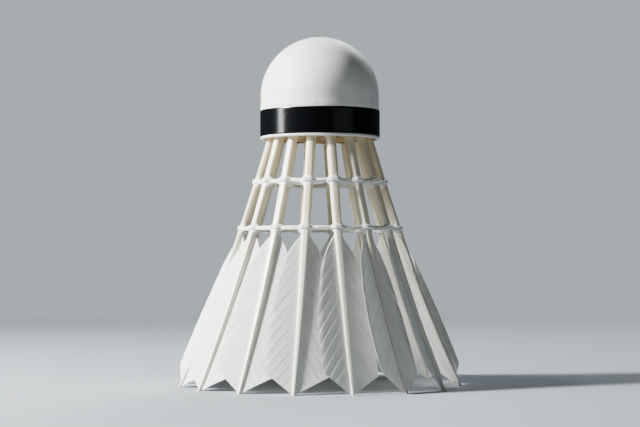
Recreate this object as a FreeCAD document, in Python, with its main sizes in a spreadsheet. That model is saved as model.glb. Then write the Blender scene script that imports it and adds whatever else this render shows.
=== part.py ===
# Feather badminton shuttlecock, standing on its sixteen feather tips with the round head up.
#
# Millimetres and degrees, +Z up.  The origin is the centre of the circle the feather tips stand on, so
# z = 0 is the plane it rests on and the skirt opens downwards.  Feather 01 points along -Y and the others
# follow it anticlockwise, seen from above.
#
# Every feather is the same part.  It is modelled once, lying in the XZ plane, and cloned round Z.  Its shaft
# follows one circular arc in that plane.  "Share" below is the part of that arc that has been covered, from 0
# at the open face of the head to 1 at the feather's tip.

import FreeCAD
import Part
import Sketcher
import math
import os

OUTPUT_FOLDER = "parts"

DIMENSIONS = [
    # alias, value, what it is
    ("head_diameter", 28.0, "outside of the leather"),
    ("head_height", 24.3, "open face of the head to its crown"),
    ("leather_thickness", 0.4, "skin over the cork"),
    ("tape_width", 6.1, "edge tape, along the axis"),
    ("tape_thickness", 0.15, "edge tape"),
    ("tape_margin", 0.65, "bare leather between the tape and the open face"),
    ("skirt_height", 58.0, "tip plane to the open face of the head"),
    ("feather_count", 16, "feathers in the skirt"),
    ("root_circle_radius", 11.5, "shaft centres at the open face"),
    ("root_angle", 16.5, "shaft's lean from vertical at the open face"),
    ("tip_angle", 24.5, "shaft's lean from vertical at the tip"),
    ("insert_length", 10.0, "shaft inside the cork"),
    ("insert_end_radius", 0.7, "shaft at the bottom of its hole"),
    ("root_half_width", 1.12, "across the shaft, at the open face"),
    ("root_half_depth", 1.14, "through the shaft, at the open face"),
    ("tip_half_width", 0.33, "across the shaft, at the tip"),
    ("tip_half_depth", 0.38, "through the shaft, at the tip"),
    ("taper_power", 1.35, "1 tapers the shaft evenly and more keeps it stout near the head"),
    ("trim_overrun", 0.6, "how far shaft and webs are made past the tip plane before trimming"),
    ("glue_gap", 0.03, "clearance that glue fills"),
    ("glue_bead_width", 0.5, "glue bead round a shaft, on the open face"),
    ("glue_bead_height", 0.7, "glue bead round a shaft, along the shaft"),
    ("upper_ring_height", 47.6, "upper binding above the tip plane"),
    ("lower_ring_height", 36.7, "lower binding above the tip plane"),
    ("thread_radius", 0.25, "one strand of a binding"),
    ("thread_gap", 0.02, "clearance round a strand"),
    ("web_thickness", 0.2, "the flat webs of a feather"),
    ("web_bow_radius", 60.0, "curve of the webs across the feather"),
    ("web_tilt", 18.0, "lean that lays each left web over the next feather"),
    ("web_drop", 0.2, "middle of the webs below the middle of the shaft"),
    ("web_gap", 0.045, "clearance between a web and its shaft"),
    ("web_start", 23.9, "open face to the first barbs, along the feather"),
    ("shoulder_distance", 32.4, "open face to the end of the rounded shoulder"),
    ("shoulder_width", 4.75, "shaft's centre to the end of the rounded shoulder"),
    ("shoulder_radius", 24.0, "curve of the rounded shoulder"),
    ("edge_radius", 90.0, "curve of the long side edge"),
    ("corner_distance", 57.1, "open face to the corner where the slanting cut starts"),
    ("corner_width", 6.25, "shaft's centre to that corner"),
    ("tuck_width", 0.7, "extra width of the right web, which lies underneath"),
    ("web_end", 61.5, "open face to the pointed end of the webs"),
]


# ------------------------------------------------------------------------------------------------------------
# Spreadsheet, and expressions shared by the sub-parts

doc = FreeCAD.newDocument("Shuttlecock")
sheet = doc.addObject("Spreadsheet::Sheet", "Dimensions")


def fill_sheet():
    for row, (alias, value, note) in enumerate(DIMENSIONS, start=1):
        sheet.set(f"A{row}", alias.replace("_", " "))
        sheet.set(f"B{row}", str(value))
        sheet.setAlias(f"B{row}", alias)
        sheet.set(f"C{row}", note)
    doc.recompute()


def cell(alias):
    return f"Dimensions.{alias}"


def number(expression):
    """What an expression comes to, for shapes worked out here and to draw sketches in their right place."""
    result = sheet.evalExpression(expression)
    return float(getattr(result, "Value", result))


ROOT = f"({cell('root_angle')} * 1deg)"
TIP = f"({cell('tip_angle')} * 1deg)"
ARC_RADIUS = f"({cell('skirt_height')} / (sin({TIP}) - sin({ROOT})))"
ARC_CENTRE = (
    f"({cell('root_circle_radius')} + {ARC_RADIUS} * cos({ROOT}))",
    f"({cell('skirt_height')} + {ARC_RADIUS} * sin({ROOT}))",
)
CHORD = f"(2 * {ARC_RADIUS} * sin(({TIP} - {ROOT}) / 2))"
HEAD_RADIUS = f"({cell('head_diameter')} / 2)"
CORK_RADIUS = f"({HEAD_RADIUS} - {cell('leather_thickness')})"
CYLINDER_HEIGHT = f"({cell('head_height')} - {HEAD_RADIUS})"
EQUATOR = f"({cell('skirt_height')} + {CYLINDER_HEIGHT})"
OVERRUN_SHARE = f"(1 + {cell('trim_overrun')} / {CHORD})"


def lean_at(share):
    """The shaft's lean from vertical, which grows evenly along the arc."""
    return f"({ROOT} + ({share}) * ({TIP} - {ROOT}))"


def on_arc(share):
    """A point on the shaft's centreline, in the XZ plane."""
    lean = lean_at(share)
    return f"({ARC_CENTRE[0]} - {ARC_RADIUS} * cos({lean}))", f"({ARC_CENTRE[1]} - {ARC_RADIUS} * sin({lean}))"


def beside_root(distance, radius):
    """A point in the XZ plane: a distance into the cork along the root's axis and a radius out from it."""
    return (
        f"({cell('root_circle_radius')} - ({distance}) * sin({ROOT}) + ({radius}) * cos({ROOT}))",
        f"({cell('skirt_height')} + ({distance}) * cos({ROOT}) + ({radius}) * sin({ROOT}))",
    )


def tapered(measure, share):
    """A half width or half depth of the shaft."""
    root, tip = cell("root_" + measure), cell("tip_" + measure)
    return f"({root} + ({share}) ^ {cell('taper_power')} * ({tip} - {root}))"


# ------------------------------------------------------------------------------------------------------------
# Sketches.  A point is a pair of expressions.

START, END, CENTRE = 1, 2, 3  # how Sketcher numbers the points of a line or arc
ORIGIN = (-1, 1)


def new_body(label):
    body = doc.addObject("PartDesign::Body", label)
    body.Label = label
    body.AllowCompound = True
    return body


def origin_feature(body, role):
    return next(feature for feature in body.Origin.OriginFeatures if feature.Role == role)


def new_sketch(body, name, role="XY_Plane"):
    sketch = body.newObject("Sketcher::SketchObject", name)
    sketch.AttachmentSupport = [(origin_feature(body, role), "")]
    sketch.MapMode = "FlatFace"
    return sketch


def shift(sketch, x, z, lean, axis):
    """Moves a sketch off its plane to x and z, and turns it by lean about an axis."""
    turn = f"rotation(vector({axis[0]}; {axis[1]}; {axis[2]}); {lean})"
    sketch.setExpression("AttachmentOffset", f"placement(vector({x}; 0; {z}); {turn})")


def drive(sketch, name, expression, kind, *where):
    """Adds a dimension to a sketch, bound to an expression."""
    index = sketch.addConstraint(Sketcher.Constraint(kind, *where, number(expression)))
    sketch.renameConstraint(index, name)
    sketch.setExpression(f"Constraints.{name}", expression)


def hold(sketch, name, geometry, end, point):
    """Holds one point of a line or arc at its distances from the sketch's origin."""
    drive(sketch, name + "_x", point[0], "DistanceX", *ORIGIN, geometry, end)
    drive(sketch, name + "_y", point[1], "DistanceY", *ORIGIN, geometry, end)


def join(sketch, *where):
    sketch.addConstraint(Sketcher.Constraint("Coincident", *where))


def vector(point):
    return FreeCAD.Vector(number(point[0]), number(point[1]), 0)


def line(sketch, start, end, construction=False):
    return sketch.addGeometry(Part.LineSegment(vector(start), vector(end)), construction)


def arc(sketch, start, end, radius):
    """The shorter arc of a radius, going anticlockwise from start to end."""
    a, b = vector(start), vector(end)
    chord, bend = b - a, number(radius)
    rise = bend - math.sqrt(bend ** 2 - (chord.Length / 2) ** 2)
    outward = FreeCAD.Vector(chord.y, -chord.x, 0).normalize()
    return sketch.addGeometry(Part.Arc(a, (a + b) * 0.5 + outward * rise, b), False)


def polygon(sketch, name, points):
    """A closed outline of straight lines with every corner held."""
    ids = [line(sketch, a, b) for a, b in zip(points, points[1:] + points[:1])]
    for here, there in zip(ids, ids[1:] + ids[:1]):
        join(sketch, here, END, there, START)
    for index, (side, point) in enumerate(zip(ids, points)):
        hold(sketch, f"{name}_{index}", side, START, point)


def disc(sketch, radius):
    circle = sketch.addGeometry(Part.Circle(FreeCAD.Vector(), FreeCAD.Vector(0, 0, 1), number(radius)), False)
    join(sketch, circle, CENTRE, *ORIGIN)
    drive(sketch, "disc_radius", radius, "Radius", circle)


# ------------------------------------------------------------------------------------------------------------
# Features

def add_feature(body, kind, name, sketch, **properties):
    feature = body.newObject("PartDesign::" + kind, name)
    feature.Profile = sketch
    for key, value in properties.items():
        setattr(feature, key, value)
    doc.recompute()
    return feature


def spin(body, name, sketch, kind="Revolution", axis="V_Axis"):
    """Turns a sketch about its own vertical axis, or about its construction line if axis is Axis0."""
    return add_feature(body, kind, name, sketch, ReferenceAxis=(sketch, [axis]), Angle=360)


def draw_root_axis(sketch):
    """The construction line that spins about a shaft's root use as their axis."""
    low, high = beside_root("0", "0"), beside_root(cell("insert_length"), "0")
    axis = line(sketch, low, high, construction=True)
    hold(sketch, "axis_low", axis, START, low)
    hold(sketch, "axis_high", axis, END, high)


def repeat_for_feathers(body, feature, name):
    pattern = body.newObject("PartDesign::PolarPattern", name)
    pattern.Originals = [feature]
    pattern.Axis = (origin_feature(body, "Z_Axis"), [""])
    pattern.Angle = 360
    pattern.setExpression("Occurrences", cell("feather_count"))
    body.Tip = pattern
    doc.recompute()


def bounds(body):
    return body.Shape.optimalBoundingBox(False, False)


def expect(truth, message):
    if not truth:
        raise RuntimeError(message)


# ------------------------------------------------------------------------------------------------------------
# Head

def make_cork_base():
    """The cylindrical layer of cork, with a leaning tapered hole for each shaft."""
    body = new_body("cork_base")
    circle = new_sketch(body, "cork_base_circle")
    shift(circle, "0", cell("skirt_height"), "0deg", (0, 0, 1))
    disc(circle, CORK_RADIUS)
    pad = add_feature(body, "Pad", "cork_base_disc", circle)
    pad.setExpression("Length", CYLINDER_HEIGHT)
    doc.recompute()
    whole = body.Shape.Volume

    hole = new_sketch(body, "shaft_hole_half", "XZ_Plane")
    mouth = f"({cell('root_half_depth')} + {cell('glue_gap')})"
    end = f"({cell('insert_end_radius')} + {cell('glue_gap')})"
    depth = f"({cell('insert_length')} + {cell('glue_gap')})"
    outside = f"(-1 * {cell('glue_bead_height')})"
    polygon(hole, "hole", [
        beside_root(outside, "0"),
        beside_root(outside, mouth),
        beside_root("0", mouth),
        beside_root(depth, end),
        beside_root(depth, "0"),
    ])
    draw_root_axis(hole)
    groove = spin(body, "shaft_hole", hole, "Groove", "Axis0")
    one_hole = whole - body.Shape.Volume
    repeat_for_feathers(body, groove, "shaft_holes")
    count = number(cell("feather_count"))
    expect(abs(whole - body.Shape.Volume - count * one_hole) < 0.01 * whole, "some shaft holes are missing")
    expect(one_hole > 0, "the shaft holes removed no cork")
    return body


def make_cork_nose():
    """The half ball of cork that meets the racket."""
    body = new_body("cork_nose")
    half = new_sketch(body, "cork_nose_half", "XZ_Plane")
    centre, side = ("0", EQUATOR), (CORK_RADIUS, EQUATOR)
    crown = ("0", f"({EQUATOR} + {CORK_RADIUS})")
    base = line(half, centre, side)
    dome = arc(half, side, crown, CORK_RADIUS)
    stem = line(half, crown, centre)
    join(half, base, END, dome, START)
    join(half, dome, END, stem, START)
    join(half, stem, END, base, START)
    join(half, dome, CENTRE, base, START)
    hold(half, "centre", base, START, centre)
    hold(half, "crown", stem, START, crown)
    half.addConstraint(Sketcher.Constraint("Horizontal", base))
    spin(body, "cork_nose_ball", half)
    return body


def make_leather_cover():
    """The skin over the ball and down the side of the cork to its open face."""
    body = new_body("leather_cover")
    wall = new_sketch(body, "leather_wall", "XZ_Plane")
    rim_in, rim_out = (CORK_RADIUS, cell("skirt_height")), (HEAD_RADIUS, cell("skirt_height"))
    side_in, side_out = (CORK_RADIUS, EQUATOR), (HEAD_RADIUS, EQUATOR)
    crown_in, crown_out = ("0", f"({EQUATOR} + {CORK_RADIUS})"), ("0", f"({EQUATOR} + {HEAD_RADIUS})")
    rim = line(wall, rim_in, rim_out)
    outer_side = line(wall, rim_out, side_out)
    outer_dome = arc(wall, side_out, crown_out, HEAD_RADIUS)
    crown = line(wall, crown_out, crown_in)
    inner_dome = arc(wall, side_in, crown_in, CORK_RADIUS)
    inner_side = line(wall, side_in, rim_in)
    join(wall, rim, END, outer_side, START)
    join(wall, outer_side, END, outer_dome, START)
    join(wall, outer_dome, END, crown, START)
    join(wall, crown, END, inner_dome, END)
    join(wall, inner_dome, START, inner_side, START)
    join(wall, inner_side, END, rim, START)
    hold(wall, "rim_in", rim, START, rim_in)
    hold(wall, "rim_out", rim, END, rim_out)
    hold(wall, "side_in", inner_dome, START, side_in)
    hold(wall, "side_out", outer_dome, START, side_out)
    hold(wall, "crown_in", inner_dome, END, crown_in)
    hold(wall, "crown_out", outer_dome, END, crown_out)
    drive(wall, "inner_bend", CORK_RADIUS, "Radius", inner_dome)
    drive(wall, "outer_bend", HEAD_RADIUS, "Radius", outer_dome)
    spin(body, "leather_skin", wall)
    return body


def make_edge_tape():
    """The tape wound once round the bottom of the leather."""
    body = new_body("edge_tape")
    section = new_sketch(body, "tape_section", "XZ_Plane")
    outside = f"({HEAD_RADIUS} + {cell('tape_thickness')})"
    bottom = f"({cell('skirt_height')} + {cell('tape_margin')})"
    top = f"({bottom} + {cell('tape_width')})"
    polygon(section, "tape", [(HEAD_RADIUS, bottom), (outside, bottom), (outside, top), (HEAD_RADIUS, top)])
    spin(body, "tape_ring", section)
    return body


def make_quill_glue():
    """A bead of glue round each shaft where it leaves the cork."""
    body = new_body("quill_glue")
    bead = new_sketch(body, "glue_bead_section", "XZ_Plane")
    inside = f"({cell('root_half_depth')} + {cell('glue_gap')})"
    outside = f"({inside} + {cell('glue_bead_width')})"
    above = cell("glue_bead_height")  # made well past the open face, and then trimmed level with it
    polygon(bead, "bead", [
        beside_root(above, inside),
        beside_root(above, outside),
        beside_root("0", outside),
        beside_root(f"(-1 * {above})", inside),
    ])
    draw_root_axis(bead)
    ring = spin(body, "glue_bead", bead, axis="Axis0")
    repeat_for_feathers(body, ring, "glue_beads")

    trim = new_sketch(body, "open_face_trim")
    shift(trim, "0", cell("skirt_height"), "0deg", (0, 0, 1))
    disc(trim, HEAD_RADIUS)
    add_feature(body, "Pocket", "level_with_cork", trim, Type="ThroughAll", Reversed=True)
    over = bounds(body).ZMax - number(cell("skirt_height"))
    expect(abs(over) < 0.001, "the glue beads are not level with the open face")
    return body


# ------------------------------------------------------------------------------------------------------------
# Feathers

SHAFT_SECTIONS = 6  # from the open face to the tip


def draw_shaft_section(body, name, share, measure_share):
    """An oval across the shaft: local x points out of the skirt and local y along its circle."""
    section = new_sketch(body, name)
    shift(section, *on_arc(share), lean_at(share), (0, -1, 0))
    half_depth, half_width = tapered("half_depth", measure_share), tapered("half_width", measure_share)
    far = FreeCAD.Vector(number(half_depth), 0, 0)
    near = FreeCAD.Vector(0, number(half_width), 0)
    oval = section.addGeometry(Part.Ellipse(far, near, FreeCAD.Vector()), False)
    section.exposeInternalGeometry(oval)
    depth_line, width_line = oval + 1, oval + 2
    join(section, oval, CENTRE, *ORIGIN)
    section.addConstraint(Sketcher.Constraint("Horizontal", depth_line))
    drive(section, "depth", f"(2 * {half_depth})", "Distance", depth_line)
    drive(section, "width", f"(2 * {half_width})", "Distance", width_line)
    return section


def make_shaft(label):
    """The quill and rachis: a straight tapered root in the cork, then a shaft that thins along its arc."""
    body = new_body(label)
    shares = [f"({step} / {SHAFT_SECTIONS - 1})" for step in range(SHAFT_SECTIONS)]
    sections = [draw_shaft_section(body, f"shaft_{i}", share, share) for i, share in enumerate(shares)]
    # One more, past the tip plane, leaves something to trim level.
    sections.append(draw_shaft_section(body, "shaft_overrun", OVERRUN_SHARE, "1"))
    doc.recompute()
    add_feature(body, "AdditiveLoft", "shaft_loft", sections[0], Sections=sections[1:])

    root = new_sketch(body, "shaft_root_half", "XZ_Plane")
    length = cell("insert_length")
    shoulder = f"({cell('root_half_width')} - {cell('glue_gap')})"  # keeps the root's edge inside the oval
    polygon(root, "root", [
        beside_root("0", "0"),
        beside_root("0", shoulder),
        beside_root(length, cell("insert_end_radius")),
        beside_root(length, "0"),
    ])
    draw_root_axis(root)
    spin(body, "shaft_root", root, axis="Axis0")

    trim = new_sketch(body, "tip_trim")
    disc(trim, cell("skirt_height"))
    add_feature(body, "Pocket", "level_tip", trim, Type="ThroughAll")
    expect(abs(bounds(body).ZMin) < 0.001, "the shaft's tip is not level with the tip plane")
    expect(bounds(body).ZMax > number(cell("skirt_height")), "the shaft lost its root")
    return body


def draw_web(sketch, name, side, tuck):
    """One web's outline: beside the shaft, round the shoulder, down the side edge and along the slanting cut.

    Local x runs from the open face towards the tip, and local y across the feather to the side, +1 or -1."""
    def across(width):
        return f"({side} * ({width}))"

    def beside_shaft(distance):
        return f"({tapered('half_width', f'{distance} / {CHORD}')} + {cell('web_gap')})"

    start, end = cell("web_start"), cell("web_end")
    # A wider web keeps the same slant, so its corner lies further back along the same cut.
    slant = f"(({end} - {cell('corner_distance')}) / ({cell('corner_width')} - {beside_shaft(end)}))"
    low = (start, across(beside_shaft(start)))
    shoulder = (cell("shoulder_distance"), across(f"{cell('shoulder_width')} + {tuck}"))
    corner = (f"({cell('corner_distance')} - {tuck} * {slant})", across(f"{cell('corner_width')} + {tuck}"))
    point = (end, across(beside_shaft(end)))

    shoulder_bend, edge_bend = cell("shoulder_radius"), cell("edge_radius")
    beside = line(sketch, point, low)
    if side > 0:
        bends = [arc(sketch, shoulder, low, shoulder_bend), arc(sketch, corner, shoulder, edge_bend)]
        first, last = END, START
    else:
        bends = [arc(sketch, low, shoulder, shoulder_bend), arc(sketch, shoulder, corner, edge_bend)]
        first, last = START, END
    cut = line(sketch, corner, point)
    join(sketch, beside, END, bends[0], first)
    join(sketch, bends[0], last, bends[1], first)
    join(sketch, bends[1], last, cut, START)
    join(sketch, cut, END, beside, START)
    hold(sketch, name + "_low", beside, END, low)
    hold(sketch, name + "_shoulder", bends[0], last, shoulder)
    hold(sketch, name + "_corner", cut, START, corner)
    hold(sketch, name + "_point", cut, END, point)
    drive(sketch, name + "_shoulder_bend", shoulder_bend, "Radius", bends[0])
    drive(sketch, name + "_edge_bend", edge_bend, "Radius", bends[1])


def draw_web_section(body, share):
    """A bowed and tilted strip across the feather, wider than the webs that are cut from it."""
    strip = new_sketch(body, "web_section")
    shift(strip, *on_arc(share), lean_at(share), (0, -1, 0))
    bow, tilt = cell("web_bow_radius"), f"({cell('web_tilt')} * 1deg)"
    span = f"(asin((1.3 * ({cell('corner_width')} + {cell('tuck_width')})) / {bow}))"
    middle = (f"(-1 * {bow} * cos({tilt}) - {cell('web_drop')})", f"(-1 * {bow} * sin({tilt}))")

    def at(side, layer):
        radius = f"({bow} + {layer} * {cell('web_thickness')} / 2)"
        turn = f"({tilt} + {side} * {span})"
        return f"({middle[0]} + {radius} * cos({turn}))", f"({middle[1]} + {radius} * sin({turn}))"

    outer = arc(strip, at(-1, 1), at(1, 1), f"({bow} + {cell('web_thickness')} / 2)")
    right = line(strip, at(1, 1), at(1, -1))
    inner = arc(strip, at(-1, -1), at(1, -1), f"({bow} - {cell('web_thickness')} / 2)")
    left = line(strip, at(-1, -1), at(-1, 1))
    join(strip, outer, END, right, START)
    join(strip, right, END, inner, END)
    join(strip, inner, START, left, START)
    join(strip, left, END, outer, START)
    for name, geometry, layer in (("outer", outer, 1), ("inner", inner, -1)):
        hold(strip, name + "_left", geometry, START, at(-1, layer))
        hold(strip, name + "_right", geometry, END, at(1, layer))
        drive(strip, name + "_bow", f"({bow} + {layer} * {cell('web_thickness')} / 2)", "Radius", geometry)
    return strip


def make_vane(label):
    """A feather's two webs.  The left one, at -Y, lies over the next feather and the right one is tucked under."""
    body = new_body(label)
    first, last = f"(0.9 * {cell('web_start')} / {CHORD})", OVERRUN_SHARE
    spine = new_sketch(body, "feather_arc", "XZ_Plane")
    bend = arc(spine, on_arc(first), on_arc(last), ARC_RADIUS)
    hold(spine, "centre", bend, CENTRE, ARC_CENTRE)
    drive(spine, "bend", ARC_RADIUS, "Radius", bend)
    drive(spine, "upper_end", on_arc(first)[1], "DistanceY", *ORIGIN, bend, START)
    drive(spine, "lower_end", on_arc(last)[1], "DistanceY", *ORIGIN, bend, END)
    strip = draw_web_section(body, first)
    doc.recompute()
    add_feature(body, "AdditivePipe", "web_blank", strip, Spine=(spine, ["Edge1"]))
    blank = body.Shape.Volume

    outline = new_sketch(body, "web_outlines")
    shift(outline, cell("root_circle_radius"), cell("skirt_height"), f"(90deg - ({TIP} + {ROOT}) / 2)", (0, 1, 0))
    draw_web(outline, "left", -1, "0")
    draw_web(outline, "right", 1, cell("tuck_width"))
    beyond = cell("skirt_height")
    polygon(outline, "waste", [
        ("0", f"(-1 * {beyond})"),
        (f"(2 * {beyond})", f"(-1 * {beyond})"),
        (f"(2 * {beyond})", beyond),
        ("0", beyond),
    ])
    doc.recompute()
    add_feature(body, "Pocket", "web_cut", outline, Type="ThroughAll", Midplane=True)
    expect(body.Shape.Volume < 0.8 * blank, "the webs were not cut to their outline")
    expect(len(body.Shape.Solids) == 2, "a feather has not come out with two webs")
    return body


def turn_to_place(body, feather):
    """Turns a feather's part round Z.  Feather 1 points along -Y."""
    turn = f"rotationz(360deg / {cell('feather_count')} * {feather - 1} - 90deg)"
    body.setExpression("Placement", f"placement(vector(0; 0; 0); {turn})")


def make_feathers():
    """The first feather, and a clone of it in every other place."""
    masters = {"shaft": make_shaft("feather_01_shaft"), "vane": make_vane("feather_01_vane")}
    parts = list(masters.values())
    for feather in range(2, int(number(cell("feather_count"))) + 1):
        for kind, master in masters.items():
            body = new_body(f"feather_{feather:02d}_{kind}")
            clone = doc.addObject("PartDesign::FeatureBase", f"clone_{feather:02d}_{kind}")
            clone.BaseFeature = master.Tip
            body.Group = [clone]
            body.Tip = clone
            turn_to_place(body, feather)
            parts.append(body)
    for master in masters.values():
        turn_to_place(master, 1)
    return parts


# ------------------------------------------------------------------------------------------------------------
# Bindings

POINTS_PER_FEATHER = 16  # along a strand
STRAND_PIECES = 4  # a strand is swept in quarters, and their skins are then sewn into one solid
SEWING_TOLERANCE = 0.0001


def make_strand(label, ring_height, phase):
    """One strand of a binding: outside one shaft, inside the next, and twisted over its partner in between.

    phase is 0 for the strand that passes outside feather 1, and 180 for its partner."""
    height, thread = number(cell(ring_height)), number(cell("thread_radius"))
    clearance = thread + number(cell("thread_gap"))
    root, tip, bend = math.radians(number(ROOT)), math.radians(number(TIP)), number(ARC_RADIUS)
    lean = math.asin(math.sin(root) + (number(cell("skirt_height")) - height) / bend)
    share = (lean - root) / (tip - root)
    middle = number(on_arc(str(share))[0])
    swing = (number(tapered("half_depth", str(share))) + clearance) / math.cos(lean)
    count = int(number(cell("feather_count")))

    points = []
    for step in range(POINTS_PER_FEATHER * count):
        turn = 2 * math.pi * step / (POINTS_PER_FEATHER * count)
        wave = turn * count / 2 + math.radians(phase)
        radius = middle + swing * math.cos(wave)
        x, y = radius * math.sin(turn), -radius * math.cos(turn)
        points.append(FreeCAD.Vector(x, y, height + clearance * math.sin(wave)))
    path = Part.BSplineCurve()
    path.interpolate(points, PeriodicFlag=True)
    piece = (path.LastParameter - path.FirstParameter) / STRAND_PIECES
    faces = []
    for index in range(STRAND_PIECES):
        start = path.FirstParameter + index * piece
        section = Part.Wire([Part.makeCircle(thread, path.value(start), path.tangent(start)[0])])
        faces += Part.Wire([path.toShape(start, start + piece)]).makePipeShell([section], False, False).Faces
    skin = Part.Compound(faces)
    skin.sewShape(SEWING_TOLERANCE)
    strand = doc.addObject("Part::Feature", label)
    strand.Label = label
    strand.Shape = Part.Solid(skin.Shells[0])
    strand.Placement = FreeCAD.Placement()
    return strand


def make_bindings():
    strands = []
    for ring in ("upper", "lower"):
        for index, phase in ((1, 0), (2, 180)):
            strands.append(make_strand(f"{ring}_thread_{index}", ring + "_ring_height", phase))
    return strands


# ------------------------------------------------------------------------------------------------------------
# Build, check and write

def check(parts):
    for item in doc.Objects:
        expect(not {"Invalid", "Error"} & set(item.State), f"{item.Label} failed: {item.State}")
    for item in parts:
        shape = item.Shape
        expect(not shape.isNull() and shape.isValid(), f"{item.Label} has no valid shape")
        expect(shape.Solids and shape.Volume > 0, f"{item.Label} has no solid")


def write(parts):
    os.makedirs(OUTPUT_FOLDER, exist_ok=True)
    for item in parts:
        item.Shape.exportStep(os.path.join(OUTPUT_FOLDER, item.Label + ".step"))


fill_sheet()
all_parts = [make_cork_base(), make_cork_nose(), make_leather_cover(), make_edge_tape(), make_quill_glue()]
all_parts += make_feathers()
all_parts += make_bindings()
doc.recompute()
check(all_parts)
write(all_parts)
print(f"{len(all_parts)} parts written")
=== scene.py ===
"""Looks of a feather badminton shuttlecock, built over its CAD frame.

Row frame: +Z up, the feather tips on z = 0.  Lengths are in millimetres until a mesh is made.  Along a feather,
"down" is the distance from the head's open face towards the tip, "out" is away from the skirt, and "side" is
along its circle, positive to the right seen from outside.
"""

import math

import bpy
import numpy as np
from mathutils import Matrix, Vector


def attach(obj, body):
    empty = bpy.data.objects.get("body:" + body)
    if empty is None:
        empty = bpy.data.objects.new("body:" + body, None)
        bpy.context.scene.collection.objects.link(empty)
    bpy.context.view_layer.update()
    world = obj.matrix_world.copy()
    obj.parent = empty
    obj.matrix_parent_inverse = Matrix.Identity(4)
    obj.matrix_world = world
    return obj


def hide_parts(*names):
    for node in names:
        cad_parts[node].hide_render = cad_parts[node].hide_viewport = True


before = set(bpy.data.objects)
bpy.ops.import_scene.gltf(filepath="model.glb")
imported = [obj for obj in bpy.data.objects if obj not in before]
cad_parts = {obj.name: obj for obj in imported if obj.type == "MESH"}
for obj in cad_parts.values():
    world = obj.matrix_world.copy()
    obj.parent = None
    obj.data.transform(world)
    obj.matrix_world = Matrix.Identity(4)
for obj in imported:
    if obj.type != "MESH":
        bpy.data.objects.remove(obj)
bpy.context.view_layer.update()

MM = 0.001

# ---------------------------------------------------------------------------------------------------------------
# Sizes

FEATHERS = 16
HEAD_RADIUS = 14.0
LEATHER_THICKNESS = 0.4
CORK_RADIUS = HEAD_RADIUS - LEATHER_THICKNESS
SKIRT_HEIGHT = 58.0
EQUATOR = 68.3
TAPE_BOTTOM, TAPE_TOP = 58.65, 64.75
TAPE_THICKNESS = 0.15
ROOT_RADIUS = 11.5
ROOT_LEAN, TIP_LEAN = math.radians(16.5), math.radians(24.5)
ARC_RADIUS = SKIRT_HEIGHT / (math.sin(TIP_LEAN) - math.sin(ROOT_LEAN))
FEATHER_LENGTH = ARC_RADIUS * (TIP_LEAN - ROOT_LEAN)
INSERT_LENGTH = 10.0
INSERT_END_RADIUS = 0.7
ROOT_HALF_WIDTH, TIP_HALF_WIDTH = 1.12, 0.33
ROOT_HALF_DEPTH, TIP_HALF_DEPTH = 1.14, 0.38
TAPER_POWER = 1.35
RING_HEIGHTS = {"upper": 47.6, "lower": 36.7}
STRAND_RADIUS = 0.21
STRAND_SPREAD = 0.25
STRAND_PROUD = 0.05
BAND_HALF_HEIGHT = 0.54
BAND_OUTER, BAND_INNER = 0.60, -0.10
BAND_COVER = 0.40
BAND_RISE = 0.8
CORNER_RADII = (1.05, 1.4)
FILM_REACH, FILM_THICKNESS = 1.4, 0.085
GLUE_VOXEL = 0.1

WEB_START, WEB_END = 23.9, 61.5
SHOULDER_DOWN, SHOULDER_SIDE, SHOULDER_BEND = 32.4, 4.75, 24.0
CORNER_DOWN, CORNER_SIDE, EDGE_BEND = 57.1, 6.25, 90.0
TUCK = 0.7
WEB_BOW = 60.0
WEB_TILT = math.radians(18.0)
WEB_DROP = 0.2
WEB_HALF_THICKNESS = 0.06


# ---------------------------------------------------------------------------------------------------------------
# Meshes

def smoothstep(value, low, high):
    share = np.clip((np.asarray(value, dtype=float) - low) / (high - low), 0.0, 1.0)
    return share * share * (3.0 - 2.0 * share)


def wobble(value, rng, waves, longest):
    """Smooth seeded noise of one variable, between about -1 and 1."""
    value = np.asarray(value, dtype=float)
    total = np.zeros_like(value)
    for order in range(1, waves + 1):
        phase = rng.uniform(0.0, 2.0 * math.pi)
        total += np.sin(2.0 * math.pi * order * value / longest + phase) / order
    return total / math.sqrt(waves)


def polar_noise(turn, height, rng, waves, longest_height, most_turns):
    """Smooth seeded noise round an axis, between about -1 and 1, without a seam."""
    total = np.zeros(np.broadcast(turn, height).shape)
    for _ in range(waves):
        turns = rng.integers(1, most_turns + 1)
        rise = rng.uniform(-2.0, 2.0) * math.pi / longest_height
        total += np.sin(turns * turn + rise * height + rng.uniform(0.0, 2.0 * math.pi))
    return total / math.sqrt(waves)


def grid_faces(rows, columns, first=0, wrap_rows=False, wrap_columns=False, flip=False):
    """Quads over a grid of points stored row by row."""
    r = np.arange(rows if wrap_rows else rows - 1)
    c = np.arange(columns if wrap_columns else columns - 1)
    r, c = (g.ravel() for g in np.meshgrid(r, c, indexing="ij"))
    r2, c2 = (r + 1) % rows, (c + 1) % columns
    quads = np.stack([r * columns + c, r * columns + c2, r2 * columns + c2, r2 * columns + c], axis=1) + first
    return quads[:, ::-1] if flip else quads


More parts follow.
